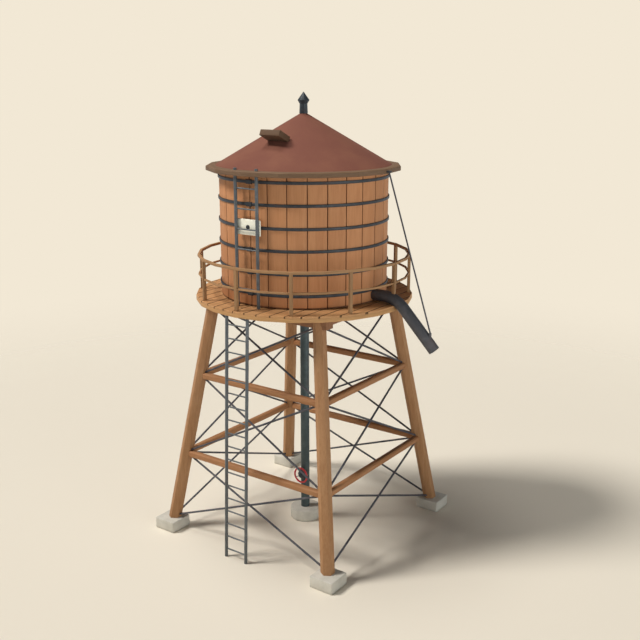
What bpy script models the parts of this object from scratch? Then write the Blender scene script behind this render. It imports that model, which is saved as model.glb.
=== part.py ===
"""Timber water tower: a staved tank on a braced four-legged stand.

Metres, +Z up. The origin is on the tank's axis at ground level. The ladders
and the gauge board are on the -Y side, and the spout points along +X.
"""

import math

import bmesh
import bpy
from mathutils import Matrix, Vector

# Running gaps between pieces that touch
GAP = 0.0003

# Faces that meet flatter than this are shaded as one round surface
SMOOTH_ANGLE = math.radians(32.0)

# Footings and the riser's pier
FOOTING_SPREAD = 2.42
FOOTING_WIDTH = 0.605
FOOTING_HEIGHT = 0.279
PIER_RADIUS = 0.380
PIER_SIDES = 16
PIER_HEIGHT = 0.291
CONCRETE_CHAMFER = 0.014

# Legs: six-sided timbers that lean inwards, given by their centre lines
LEG_FOOT_SPREAD = 2.371
LEG_LEAN = 0.1453
LEG_FOOT_RADIUS = 0.163
LEG_TOP_RADIUS = 0.153
LEG_SIDES = 6
LEG_HOUSING_X = (1.0, 2.2)

# Girts between the legs
GIRT_HEIGHTS = {"lower": 1.997, "upper": 4.014}
GIRT_WIDTH = 0.155
GIRT_CHAMFER = 0.03

# Crossed rods in each bay of each side
ROD_RADIUS = 0.026
ROD_SIDES = 6
BRACE_BAYS = {"bottom": (0.307, 1.997), "middle": (2.02, 4.02), "top": (4.03, 5.73)}

# Deck and the beams under it
DECK_TOP = 6.04
DECK_THICKNESS = 0.132
DECK_RADIUS = 2.62
DECK_SEGMENTS = 24
BEAM_SPREAD = 1.53
BEAM_WIDTH = 0.26
BEAM_DEPTH = 0.228
BEAM_HALF_LENGTH = 1.83
BEAM_CHAMFER = 0.01

# Railing round the deck
RAILING_RADIUS = 2.53
RAILING_POSTS = 12
RAILING_SEGMENTS = 24
POST_WIDTH = 0.075
TOP_RAIL_HEIGHT = 6.9915
TOP_RAIL_WIDTH = 0.062
POST_INTO_RAIL = 0.010
MID_RAIL_HEIGHT = 6.540
MID_RAIL_WIDTH = 0.046
POST_OVER_SPOUT = 6.18

# Tank: staves seen as a round wall in four arcs, on a plank floor
STAVES = 28
WALL_SEGMENTS = 2 * STAVES
TANK_RADIUS = 2.0
WALL_THICKNESS = 0.07
WALL_BOTTOM = DECK_TOP + 0.015
WALL_TOP = 8.985
FLOOR_THICKNESS = 0.07
FIRST_WALL_SEAM = -90.0 + 3 * 360.0 / STAVES

# Iron hoops with a closing lug each
HOOP_HEIGHTS = (6.351, 6.839, 7.355, 7.850, 8.359, 8.853)
HOOP_HEIGHT = 0.07
HOOP_OUTER_RADIUS = 2.028
HOOP_CORNER = 0.012
LUG_SIZE = (0.15, 0.045, 0.095)
LUG_SETBACK = 0.006

# Eave ring of sixteen straight lengths, and roof
EAVE_INNER_RADIUS = 1.90
EAVE_OUTER_RADIUS = 2.305
EAVE_SIDES = 16
EAVE_TOP = 9.10
EAVE_TOP_BEVEL = (0.025, 0.018)
EAVE_LOWER_BEVEL = (0.015, 0.012)
ROOF_APEX_HEIGHT = 10.306
ROOF_SLOPE = 0.5815
ROOF_THICKNESS = 0.035
ROOF_CROWN_RADIUS = 0.085
ROOF_CROWN_BORE = 0.047
ROOF_SEGMENTS = 56

# Finial: turned with eight flats
FINIAL_PROFILE = ((0.0, 10.754), (0.142, 10.558), (0.092, 10.477), (0.101, 10.257))
FINIAL_SIDES = 8

# Roof hatch: a thick slab that rises outwards from the roof
HATCH_WIDTH = 0.556
HATCH_THICKNESS = 0.14
HATCH_LENGTH = 0.40
HATCH_TILT = math.radians(25.0)
HATCH_OUTER_EDGE = (0.06, -1.38, 9.818)

# Gauge board hung on the hoop behind the upper ladder
BOARD_SIZE = (0.695, 0.034, 0.355)
BOARD_CENTRE_HEIGHT = 7.857
BOARD_CHAMFER = 0.012
KNOB_RADIUS = 0.053
KNOB_LENGTH = 0.022
KNOB_SIDES = 16

# Ladders
RAIL_SPACING = 0.60
RAIL_RADIUS = 0.038
RAIL_SIDES = 8
RUNG_RADIUS = 0.018
RUNG_SIDES = 8
UPPER_LADDER_Y = -2.130
UPPER_LADDER_TOP = 9.15
UPPER_RUNGS = (6.46, 0.45, 6)
LOWER_LADDER_FOOT_Y = -2.775
LOWER_LADDER_TOP_Y = -2.525
LOWER_RUNGS = (0.214, 0.3225, 18)

# Spout and its stay
SPOUT_RADIUS = 0.133
SPOUT_WALL = 0.014
SPOUT_START_X = TANK_RADIUS - WALL_THICKNESS
SPOUT_START_Z = 6.215
SPOUT_END = (3.62, 5.127)
SPOUT_MOUTH_DEPTH = 0.30
SPOUT_SIDES = 20
SPOUT_SLOPE = math.radians(46.5)
SPOUT_BEND_RADIUS = 0.75
SPOUT_BEND_STEPS = 8
SPOUT_HOLE_DEPTH = 0.2
STAY_RADIUS = 0.018
STAY_SIDES = 8
STAY_FOOT = (3.50, 5.52)
STAY_HEAD = (2.352, 9.02)
EYE_RADIUS = 0.032
EYE_SIDES = 12
EYE_DEPTH = 0.16
BRACKET_SIZE = (0.11, 0.07, 0.04)

# Riser pipe with its valve and hand wheel
RISER_RADIUS = 0.11
RISER_SIDES = 24
VALVE_HEIGHT = 1.21
BONNET_RADIUS = 0.125
BONNET_SIDES = 8
BONNET_END_Y = -0.155
STEM_RADIUS = 0.017
STEM_SIDES = 16
STEM_END_Y = -0.205
WHEEL_Y = -0.190
WHEEL_RADIUS = 0.19
WHEEL_RIM_RADIUS = 0.022
WHEEL_RIM_SIDES = 8
WHEEL_STEPS = 32
WHEEL_SPOKES = 3
SPOKE_RADIUS = 0.010
SPOKE_SIDES = 6
HUB_RADIUS = 0.042
HUB_DEPTH = 0.05
BORE_CLEARANCE = 0.0006
BORE_DEPTH = 0.042

CORNERS = {
    "front_left": (-1, -1),
    "front_right": (1, -1),
    "back_right": (1, 1),
    "back_left": (-1, 1),
}

for old in list(bpy.data.objects):
    bpy.data.objects.remove(old, do_unlink=True)

parts = bpy.data.collections.new("water_tower")
cutters = bpy.data.collections.new("cutters")
bpy.context.scene.collection.children.link(parts)
bpy.context.scene.collection.children.link(cutters)


# Materials and small modelling helpers

def material(name, colour, roughness, metallic=0.0):
    """A Principled material with the piece's plain colour."""
    made = bpy.data.materials.new(name)
    made.use_nodes = True
    shader = made.node_tree.nodes["Principled BSDF"]
    shader.inputs["Base Color"].default_value = (*colour, 1.0)
    shader.inputs["Roughness"].default_value = roughness
    shader.inputs["Metallic"].default_value = metallic
    return made


CONCRETE = material("concrete", (0.56, 0.54, 0.47), 0.85)
TIMBER = material("stand timber", (0.37, 0.19, 0.07), 0.65)
BEAM_TIMBER = material("beam timber", (0.28, 0.14, 0.06), 0.7)
DECKING = material("decking", (0.48, 0.27, 0.11), 0.7)
STAVE_WOOD = material("stave wood", (0.42, 0.20, 0.09), 0.6)
TRIM_WOOD = material("trim wood", (0.19, 0.12, 0.06), 0.7)
ROOFING = material("roofing", (0.27, 0.09, 0.06), 0.75)
IRON = material("painted iron", (0.06, 0.07, 0.08), 0.5, 0.6)
LADDER_STEEL = material("ladder steel", (0.10, 0.12, 0.13), 0.5, 0.7)
BOARD_PAINT = material("board paint", (0.86, 0.80, 0.58), 0.5)
WHEEL_PAINT = material("wheel paint", (0.62, 0.05, 0.05), 0.4)


def new_object(name, mesh, paint=None, collection=None):
    """Link a mesh as a part, or as a hidden tool if it has no paint."""
    made = bpy.data.objects.new(name, mesh)
    (collection or (parts if paint else cutters)).objects.link(made)
    if paint:
        mesh.materials.append(paint)
    else:
        made.hide_render = True
        made.display_type = "WIRE"
    return made


def mesh_from(work, name):
    """Write a bmesh to a new mesh, faces out and round stretches smooth."""
    bmesh.ops.recalc_face_normals(work, faces=work.faces)
    mesh = bpy.data.meshes.new(name)
    work.to_mesh(mesh)
    work.free()
    mesh.shade_smooth()
    mesh.set_sharp_from_angle(angle=SMOOTH_ANGLE)
    return mesh


def box(name, low, high, paint=None):
    """A block between two corners."""
    low, high = Vector(low), Vector(high)
    work = bmesh.new()
    bmesh.ops.create_cube(work, size=1.0)
    bmesh.ops.scale(work, vec=high - low, verts=work.verts)
    bmesh.ops.translate(work, vec=(low + high) / 2, verts=work.verts)
    return new_object(name, mesh_from(work, name), paint)


def slanted_post(name, foot, head, foot_radius, head_radius, sides, turn=0.0, paint=None):
    """A post with level ends, whose centre line runs from foot to head."""
    foot, head = Vector(foot), Vector(head)
    work = bmesh.new()
    bmesh.ops.create_cone(
        work, cap_ends=True, segments=sides,
        radius1=foot_radius, radius2=head_radius, depth=1.0)
    bmesh.ops.rotate(work, matrix=Matrix.Rotation(turn, 3, "Z"), verts=work.verts)
    for vert in work.verts:
        centre = foot.lerp(head, vert.co.z + 0.5)
        vert.co = Vector((centre.x + vert.co.x, centre.y + vert.co.y, centre.z))
    return new_object(name, mesh_from(work, name), paint)


def bar(name, start, end, radius, sides, paint=None):
    """A straight bar with square ends."""
    start, end = Vector(start), Vector(end)
    along = end - start
    work = bmesh.new()
    bmesh.ops.create_cone(
        work, cap_ends=True, segments=sides,
        radius1=radius, radius2=radius, depth=along.length)
    turn = Vector((0, 0, 1)).rotation_difference(along).to_matrix()
    bmesh.ops.rotate(work, matrix=turn, verts=work.verts)
    bmesh.ops.translate(work, vec=(start + end) / 2, verts=work.verts)
    return new_object(name, mesh_from(work, name), paint)


def turned(name, profile, steps, closed=True, paint=None):
    """A shape turned about Z from points (radius, height) down its outer side."""
    mesh = bpy.data.meshes.new(name)
    edges = [(i, i + 1) for i in range(len(profile) - 1)]
    if closed:
        edges.append((len(profile) - 1, 0))
    mesh.from_pydata([(r, 0.0, z) for r, z in profile], edges, [])
    made = new_object(name, mesh, paint)
    screw = made.modifiers.new("turn", "SCREW")
    screw.axis = "Z"
    screw.steps = screw.render_steps = steps
    screw.use_merge_vertices = True
    screw.merge_threshold = 0.0001
    screw.use_smooth_shade = steps > EAVE_SIDES
    return made


def chamfer(made, width):
    """Plane the edges of a piece."""
    bevel = made.modifiers.new("chamfer", "BEVEL")
    bevel.width = width
    bevel.segments = 1
    bevel.limit_method = "ANGLE"
    return made


def cut(made, *tools):
    """Cut each tool out of a piece."""
    for tool in tools:
        boolean = made.modifiers.new("cut", "BOOLEAN")
        boolean.operation = "DIFFERENCE"
        boolean.solver = "EXACT"
        boolean.object = tool
    return made


def fuse(made, tools):
    """Weld each tool onto a piece."""
    for tool in tools:
        boolean = made.modifiers.new("weld", "BOOLEAN")
        boolean.operation = "UNION"
        boolean.solver = "EXACT"
        boolean.object = tool
    return made


def solid_from_curve(name, points, radius, paint=None, resolution=4):
    """A bent tube with filled ends, as a mesh."""
    curve = bpy.data.curves.new(name + " route", "CURVE")
    curve.dimensions = "3D"
    curve.bevel_depth = radius
    curve.bevel_resolution = resolution
    curve.use_fill_caps = True
    spline = curve.splines.new("POLY")
    spline.points.add(len(points) - 1)
    for point, place in zip(spline.points, points):
        point.co = (*place, 1.0)
    route = bpy.data.objects.new(name + " route", curve)
    cutters.objects.link(route)
    bpy.context.view_layer.update()
    seen = route.evaluated_get(bpy.context.evaluated_depsgraph_get())
    mesh = bpy.data.meshes.new_from_object(seen)
    bpy.data.objects.remove(route, do_unlink=True)
    work = bmesh.new()
    work.from_mesh(mesh)
    bmesh.ops.remove_doubles(work, verts=work.verts, dist=0.0001)
    bpy.data.meshes.remove(mesh)
    return new_object(name, mesh_from(work, name), paint)


# Footings and pier

def build_footings():
    half = FOOTING_WIDTH / 2
    for corner, (sx, sy) in CORNERS.items():
        x, y = sx * FOOTING_SPREAD, sy * FOOTING_SPREAD
        block = box(f"footing_{corner}", (x - half, y - half, 0.0),
                    (x + half, y + half, FOOTING_HEIGHT), CONCRETE)
        chamfer(block, CONCRETE_CHAMFER)
    pier = slanted_post("riser_pier", (0, 0, 0), (0, 0, PIER_HEIGHT),
                        PIER_RADIUS, PIER_RADIUS, PIER_SIDES, paint=CONCRETE)
    chamfer(pier, CONCRETE_CHAMFER)


# Legs

def leg_spread(height):
    """Half the distance between leg centre lines at a height."""
    return LEG_FOOT_SPREAD - LEG_LEAN * (height - FOOTING_HEIGHT)


def leg_point(corner, height):
    sx, sy = CORNERS[corner]
    spread = leg_spread(height)
    return Vector((sx * spread, sy * spread, height))


def leg_solid(name, corner, extra, paint=None):
    """A leg, or with extra clearance the tool that fits pieces to it."""
    return slanted_post(
        name, leg_point(corner, FOOTING_HEIGHT + GAP),
        leg_point(corner, DECK_TOP - DECK_THICKNESS - GAP),
        LEG_FOOT_RADIUS + extra, LEG_TOP_RADIUS + extra, LEG_SIDES, paint=paint)


def build_legs():
    """Legs, housed round the cap beams at their tops."""
    beam_bottom = DECK_TOP - DECK_THICKNESS - BEAM_DEPTH
    for corner, (sx, sy) in CORNERS.items():
        leg = leg_solid(f"leg_{corner}", corner, 0.0, TIMBER)
        centre = sy * BEAM_SPREAD
        reach = BEAM_WIDTH / 2 + GAP
        x_inner, x_outer = sorted(sx * x for x in LEG_HOUSING_X)
        housing = box(f"housing {corner}", (x_inner, centre - reach, beam_bottom - GAP),
                      (x_outer, centre + reach, DECK_TOP))
        cut(leg, housing)


# Girts and crossed rods

SIDE_CORNERS = {
    "front": ("front_left", "front_right"),
    "right": ("front_right", "back_right"),
    "back": ("back_right", "back_left"),
    "left": ("back_left", "front_left"),
}


def girt_solid(name, side, height, extra, paint=None):
    """A girt from leg centre to leg centre, or the tool that fits rods to it."""
    start, end = (leg_point(corner, height) for corner in SIDE_CORNERS[side])
    half = GIRT_WIDTH / 2 + extra
    across = Vector((0, half, half)) if side in ("front", "back") else Vector((half, 0, half))
    low = Vector([min(pair) for pair in zip(start, end)])
    high = Vector([max(pair) for pair in zip(start, end)])
    return chamfer(box(name, low - across, high + across, paint), GIRT_CHAMFER)


def build_girts(leg_tools):
    """Girts cut to the legs; returns the tools that fit the rods to them."""
    tools = {}
    for level, height in GIRT_HEIGHTS.items():
        for side, (start, end) in SIDE_CORNERS.items():
            girt = girt_solid(f"girt_{level}_{side}", side, height, 0.0, TIMBER)
            cut(girt, leg_tools[start], leg_tools[end])
            tools[level, side] = girt_solid(f"clearance {level} {side}", side, height, 2 * GAP)
    return tools


def build_braces(leg_tools, girt_tools):
    """Two rods a bay, welded where they cross and cut back to the timbers."""
    beam_bottom = DECK_TOP - DECK_THICKNESS - BEAM_DEPTH
    reach = LEG_FOOT_SPREAD
    beam_tool = box("clearance beams", (-reach, -reach, beam_bottom - 2 * GAP),
                    (reach, reach, DECK_TOP))
    for bay, (low, high) in BRACE_BAYS.items():
        for side, (start, end) in SIDE_CORNERS.items():
            rising = (leg_point(start, low), leg_point(end, high))
            falling = (leg_point(start, high), leg_point(end, low))
            brace = bar(f"brace_{bay}_{side}", *rising, ROD_RADIUS, ROD_SIDES, IRON)
            other = bar(f"rod {bay} {side}", *falling, ROD_RADIUS, ROD_SIDES)
            fuse(brace, [other])
            lower, upper = girt_tools["lower", side], girt_tools["upper", side]
            timbers = {"bottom": (lower,), "middle": (lower, upper), "top": (upper, beam_tool)}
            cut(brace, leg_tools[start], leg_tools[end], *timbers[bay])


# Deck and beams

def build_beams():
    top = DECK_TOP - DECK_THICKNESS - GAP
    bottom = top - BEAM_DEPTH
    half = BEAM_WIDTH / 2
    for side, sy in (("front", -1), ("back", 1)):
        centre = sy * BEAM_SPREAD
        beam = box(f"cap_beam_{side}", (-BEAM_HALF_LENGTH, centre - half, bottom),
                   (BEAM_HALF_LENGTH, centre + half, top), BEAM_TIMBER)
        chamfer(beam, BEAM_CHAMFER)
    reach = BEAM_SPREAD - half - GAP
    for side, sx in (("left", -1), ("right", 1)):
        centre = sx * BEAM_SPREAD
        beam = box(f"cross_beam_{side}", (centre - half, -reach, bottom),
                   (centre + half, reach, top), BEAM_TIMBER)
        chamfer(beam, BEAM_CHAMFER)


def build_deck(spout_tool):
    deck = slanted_post("deck", (0, 0, DECK_TOP - DECK_THICKNESS), (0, 0, DECK_TOP),
                        DECK_RADIUS, DECK_RADIUS, DECK_SEGMENTS, paint=DECKING)
    hole = slanted_post("riser hole", (0, 0, DECK_TOP - 2 * DECK_THICKNESS),
                        (0, 0, DECK_TOP + DECK_THICKNESS), RISER_RADIUS + 2 * GAP,
                        RISER_RADIUS + 2 * GAP, RISER_SIDES)
    cut(deck, hole, spout_tool)


# Railing

def rail_ring(name, height, width, paint=None):
    """A ring of straight rails, two a bay, with every second corner at a post."""
    half = width / 2
    profile = ((RAILING_RADIUS - half, height - half), (RAILING_RADIUS - half, height + half),
               (RAILING_RADIUS + half, height + half), (RAILING_RADIUS + half, height - half))
    return turned(name, profile, RAILING_SEGMENTS, paint=paint)


def build_railing(spout_tool):
    railing = rail_ring("railing", TOP_RAIL_HEIGHT, TOP_RAIL_WIDTH, DECKING)
    pieces = [rail_ring("mid rail", MID_RAIL_HEIGHT, MID_RAIL_WIDTH)]
    post_top = TOP_RAIL_HEIGHT - TOP_RAIL_WIDTH / 2 + POST_INTO_RAIL
    for index in range(RAILING_POSTS):
        angle = 2 * math.pi * index / RAILING_POSTS
        place = Vector((math.cos(angle), math.sin(angle), 0)) * RAILING_RADIUS
        foot = POST_OVER_SPOUT if index == 0 else DECK_TOP + GAP
        radius = POST_WIDTH / math.sqrt(2)
        pieces.append(slanted_post(
            f"post {index}", place + Vector((0, 0, foot)), place + Vector((0, 0, post_top)),
            radius, radius, 4, angle + math.pi / 4))
    fuse(railing, pieces)
    cut(railing, spout_tool)


# Tank

def build_wall(spout_tool):
    """Four arcs of staves, each a quarter of the round wall."""
    inner = TANK_RADIUS - WALL_THICKNESS
    profile = ((inner, WALL_BOTTOM), (inner, WALL_TOP),
               (TANK_RADIUS, WALL_TOP), (TANK_RADIUS, WALL_BOTTOM))
    reach = TANK_RADIUS * math.sqrt(2)
    for index, side in enumerate(("right", "back", "left", "front")):
        wall = turned(f"tank_wall_{side}", profile, WALL_SEGMENTS, paint=STAVE_WOOD)
        quarter = box(f"quarter {side}", (GAP / 2, GAP / 2, DECK_TOP),
                      (reach, reach, EAVE_TOP))
        wall.rotation_euler.z = math.radians(FIRST_WALL_SEAM)
        quarter.rotation_euler.z = math.radians(FIRST_WALL_SEAM + 90.0 * index)
        keep = wall.modifiers.new("quarter", "BOOLEAN")
        keep.operation = "INTERSECT"
        keep.solver = "EXACT"
        keep.object = quarter
        if side == "right":
            cut(wall, spout_tool)


def build_floor():
    radius = TANK_RADIUS - WALL_THICKNESS - 3 * GAP
    slanted_post("tank_floor", (0, 0, DECK_TOP + GAP), (0, 0, DECK_TOP + GAP + FLOOR_THICKNESS),
                 radius, radius, WALL_SEGMENTS, math.radians(FIRST_WALL_SEAM), STAVE_WOOD)


def build_hoops(spout_tool):
    inner = TANK_RADIUS + GAP
    for index, height in enumerate(HOOP_HEIGHTS):
        half = HOOP_HEIGHT / 2
        profile = ((inner, height - half), (inner, height + half),
                   (HOOP_OUTER_RADIUS - HOOP_CORNER, height + half),
                   (HOOP_OUTER_RADIUS, height + half - HOOP_CORNER),
                   (HOOP_OUTER_RADIUS, height - half + HOOP_CORNER),
                   (HOOP_OUTER_RADIUS - HOOP_CORNER, height - half))
        hoop = turned(f"hoop_{index + 1}", profile, WALL_SEGMENTS, paint=IRON)
        hoop.rotation_euler.z = math.radians(FIRST_WALL_SEAM)
        x, y, z = LUG_SIZE
        back = -(inner + LUG_SETBACK)
        lug = box(f"lug {index + 1}", (-x / 2, back - y, height - z / 2), (x / 2, back, height + z / 2))
        fuse(hoop, [lug])
        if index == 0:
            cut(hoop, spout_tool)


# Eave, roof, finial and hatch

def roof_height(radius):
    """The roof's outer surface at a distance from the axis."""
    return ROOF_APEX_HEIGHT - ROOF_SLOPE * radius


def build_eave(ladder_tools):
    """A chamfered ring on the wall's top, bored for the ladder's rails."""
    outer = EAVE_OUTER_RADIUS
    top_in, top_down = EAVE_TOP_BEVEL
    lower_in, lower_up = EAVE_LOWER_BEVEL
    profile = ((EAVE_INNER_RADIUS, WALL_TOP + GAP), (EAVE_INNER_RADIUS, EAVE_TOP),
               (outer - top_in, EAVE_TOP), (outer, EAVE_TOP - top_down),
               (outer, WALL_TOP + lower_up), (outer - lower_in, WALL_TOP + GAP))
    eave = turned("eave_ring", profile, EAVE_SIDES, paint=TRIM_WOOD)
    x, y, z = BRACKET_SIZE
    bracket = box("stay bracket", (outer - lower_in, -y / 2, STAY_HEAD[1] + GAP),
                  (outer - lower_in + x, y / 2, STAY_HEAD[1] + GAP + z))
    fuse(eave, [bracket])
    cut(eave, *ladder_tools)


def build_roof():
    base = EAVE_TOP + GAP
    slant = math.sqrt(1 + ROOF_SLOPE ** 2)
    drop = ROOF_THICKNESS * slant
    outer_base = (ROOF_APEX_HEIGHT - base) / ROOF_SLOPE
    inner_base = (ROOF_APEX_HEIGHT - drop - base) / ROOF_SLOPE
    crown = roof_height(ROOF_CROWN_RADIUS)
    profile = ((ROOF_CROWN_BORE, crown), (ROOF_CROWN_RADIUS, crown), (outer_base, base),
               (inner_base, base), (ROOF_CROWN_BORE, roof_height(ROOF_CROWN_BORE) - drop))
    turned("roof", profile, ROOF_SEGMENTS, paint=ROOFING)


def build_finial():
    base = roof_height(ROOF_CROWN_RADIUS) + GAP
    profile = list(FINIAL_PROFILE[:-1]) + [(FINIAL_PROFILE[-1][0], base), (0.0, base)]
    turned("finial", profile, FINIAL_SIDES, closed=False, paint=IRON)


def build_hatch():
    """A slab with its lower end mitred to sit on the roof."""
    work = bmesh.new()
    bmesh.ops.create_cube(work, size=1.0)
    bmesh.ops.scale(work, vec=(HATCH_WIDTH, HATCH_LENGTH, HATCH_THICKNESS), verts=work.verts)
    bmesh.ops.translate(work, vec=(0, HATCH_LENGTH / 2, HATCH_THICKNESS / 2), verts=work.verts)
    bmesh.ops.rotate(work, matrix=Matrix.Rotation(-HATCH_TILT, 3, "X"), verts=work.verts)
    bmesh.ops.translate(work, vec=HATCH_OUTER_EDGE, verts=work.verts)
    hatch = new_object("roof_hatch", mesh_from(work, "roof_hatch"), TRIM_WOOD)
    rise = 2 * GAP * math.sqrt(1 + ROOF_SLOPE ** 2)
    tool = turned("roof shape", ((0.0, ROOF_APEX_HEIGHT + rise),
                                 (TANK_RADIUS, roof_height(TANK_RADIUS) + rise),
                                 (TANK_RADIUS, WALL_TOP), (0.0, WALL_TOP)),
                  ROOF_SEGMENTS, closed=False)
    cut(hatch, tool)


# Gauge board

def build_gauge():
    x, y, z = BOARD_SIZE
    back = -(TANK_RADIUS + GAP + LUG_SETBACK + LUG_SIZE[1] + GAP)
    board = box("gauge_board", (-x / 2, back - y, BOARD_CENTRE_HEIGHT - z / 2),
                (x / 2, back, BOARD_CENTRE_HEIGHT + z / 2), BOARD_PAINT)
    chamfer(board, BOARD_CHAMFER)
    bar("gauge_knob", (0, back - y - GAP, BOARD_CENTRE_HEIGHT),
        (0, back - y - GAP - KNOB_LENGTH, BOARD_CENTRE_HEIGHT), KNOB_RADIUS, KNOB_SIDES, IRON)


# Ladders

def build_ladder(name, foot_y, head_y, foot_z, head_z, rungs):
    half = RAIL_SPACING / 2

    def rail(label, x, extra=0.0, paint=None):
        return slanted_post(label, (x, foot_y, foot_z), (x, head_y, head_z), RAIL_RADIUS + extra,
                            RAIL_RADIUS + extra, RAIL_SIDES, math.pi / RAIL_SIDES, paint)

    ladder = rail(name, -half, paint=LADDER_STEEL)
    pieces = [rail(name + " rail", half)]
    first, spacing, count = rungs
    for index in range(count):
        height = first + spacing * index
        y = foot_y + (head_y - foot_y) * (height - foot_z) / (head_z - foot_z)
        pieces.append(bar(f"{name} rung {index}", (-half, y, height), (half, y, height),
                          RUNG_RADIUS, RUNG_SIDES))
    fuse(ladder, pieces)
    return [rail(f"{name} clearance {x}", x, 2 * GAP) for x in (-half, half)]


# Spout and stay

def spout_route(start_x):
    """Level out of the tank, a bend, then straight down to the mouth."""
    down = Vector((math.cos(SPOUT_SLOPE), 0, -math.sin(SPOUT_SLOPE)))
    end = Vector((SPOUT_END[0], 0, SPOUT_END[1]))
    run = (SPOUT_START_Z - end.z) / math.sin(SPOUT_SLOPE)
    elbow = end - down * run
    reach = SPOUT_BEND_RADIUS * math.tan(SPOUT_SLOPE / 2)
    centre = Vector((elbow.x - reach, 0, SPOUT_START_Z - SPOUT_BEND_RADIUS))
    points = [Vector((start_x, 0, SPOUT_START_Z))]
    for index in range(SPOUT_BEND_STEPS + 1):
        angle = SPOUT_SLOPE * index / SPOUT_BEND_STEPS
        points.append(centre + SPOUT_BEND_RADIUS * Vector((math.sin(angle), 0, math.cos(angle))))
    points.append(end)
    return points


def build_spout():
    points = spout_route(SPOUT_START_X)
    spout = solid_from_curve("spout", points, SPOUT_RADIUS, IRON)
    eye = slanted_post("stay eye", (STAY_FOOT[0], 0, STAY_FOOT[1] - EYE_DEPTH),
                       (STAY_FOOT[0], 0, STAY_FOOT[1] - GAP), EYE_RADIUS, EYE_RADIUS, EYE_SIDES)
    fuse(spout, [eye])
    end = points[-1]
    down = (end - points[-2]).normalized()
    mouth = bar("spout mouth", end - down * SPOUT_MOUTH_DEPTH, end + down * SPOUT_WALL,
                SPOUT_RADIUS - SPOUT_WALL, SPOUT_SIDES)
    cut(spout, mouth)
    slanted_post("spout_stay", (STAY_FOOT[0], 0, STAY_FOOT[1]), (STAY_HEAD[0], 0, STAY_HEAD[1]),
                 STAY_RADIUS, STAY_RADIUS, STAY_SIDES, paint=IRON)


# Riser, valve and hand wheel

def build_riser():
    riser = slanted_post("riser_pipe", (0, 0, PIER_HEIGHT + GAP), (0, 0, DECK_TOP),
                         RISER_RADIUS, RISER_RADIUS, RISER_SIDES, paint=IRON)
    bonnet = bar("bonnet", (0, 0, VALVE_HEIGHT), (0, BONNET_END_Y, VALVE_HEIGHT),
                 BONNET_RADIUS, BONNET_SIDES)
    stem = bar("stem", (0, 0, VALVE_HEIGHT), (0, STEM_END_Y, VALVE_HEIGHT), STEM_RADIUS, STEM_SIDES)
    fuse(riser, [bonnet, stem])


def build_wheel():
    """Rim, spokes and a bored hub, with its origin on the stem's axis."""
    centre = Vector((0, WHEEL_Y, VALVE_HEIGHT))
    work = bmesh.new()
    bmesh.ops.create_cone(work, cap_ends=True, segments=STEM_SIDES, radius1=HUB_RADIUS,
                          radius2=HUB_RADIUS, depth=HUB_DEPTH)
    hub_mesh = mesh_from(work, "valve_wheel")
    wheel = new_object("valve_wheel", hub_mesh, WHEEL_PAINT)
    rim = [(WHEEL_RADIUS + WHEEL_RIM_RADIUS * math.cos(a), WHEEL_RIM_RADIUS * math.sin(a))
           for a in (-2 * math.pi * i / WHEEL_RIM_SIDES for i in range(WHEEL_RIM_SIDES))]
    pieces = [turned("wheel rim", rim, WHEEL_STEPS)]
    for index in range(WHEEL_SPOKES):
        angle = 2 * math.pi * index / WHEEL_SPOKES + math.pi / 2
        reach = Vector((math.cos(angle), math.sin(angle), 0))
        pieces.append(bar(f"spoke {index}", reach * HUB_RADIUS / 2, reach * WHEEL_RADIUS,
                          SPOKE_RADIUS, SPOKE_SIDES))
    bore = bar("wheel bore", (0, 0, -HUB_DEPTH), (0, 0, BORE_DEPTH - HUB_DEPTH / 2),
               STEM_RADIUS + BORE_CLEARANCE, STEM_SIDES)
    stand = Matrix.Translation(centre) @ Matrix.Rotation(math.pi / 2, 4, "X")
    for piece in (wheel, bore, *pieces):
        piece.matrix_world = stand
    fuse(wheel, pieces)
    cut(wheel, bore)


def build_tower():
    build_footings()
    build_legs()
    leg_tools = {corner: leg_solid(f"leg clearance {corner}", corner, 2 * GAP) for corner in CORNERS}
    girt_tools = build_girts(leg_tools)
    build_braces(leg_tools, girt_tools)
    build_beams()
    spout_tool = solid_from_curve("spout clearance", spout_route(SPOUT_START_X - SPOUT_HOLE_DEPTH),
                                  SPOUT_RADIUS + 3 * GAP)
    build_deck(spout_tool)
    build_railing(spout_tool)
    build_wall(spout_tool)
    build_floor()
    build_hoops(spout_tool)
    ladder_tools = build_ladder("upper_ladder", UPPER_LADDER_Y, UPPER_LADDER_Y,
                                DECK_TOP + GAP, UPPER_LADDER_TOP, UPPER_RUNGS)
    build_ladder("lower_ladder", LOWER_LADDER_FOOT_Y, LOWER_LADDER_TOP_Y, 0.0,
                 DECK_TOP - DECK_THICKNESS - GAP, LOWER_RUNGS)
    build_eave(ladder_tools)
    build_roof()
    build_finial()
    build_hatch()
    build_gauge()
    build_spout()
    build_riser()
    build_wheel()


build_tower()
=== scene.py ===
"""Timber water tower: the finish of every surface, built round the frame's plain pieces."""
import math

import bpy
from mathutils import Matrix, Vector


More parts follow.
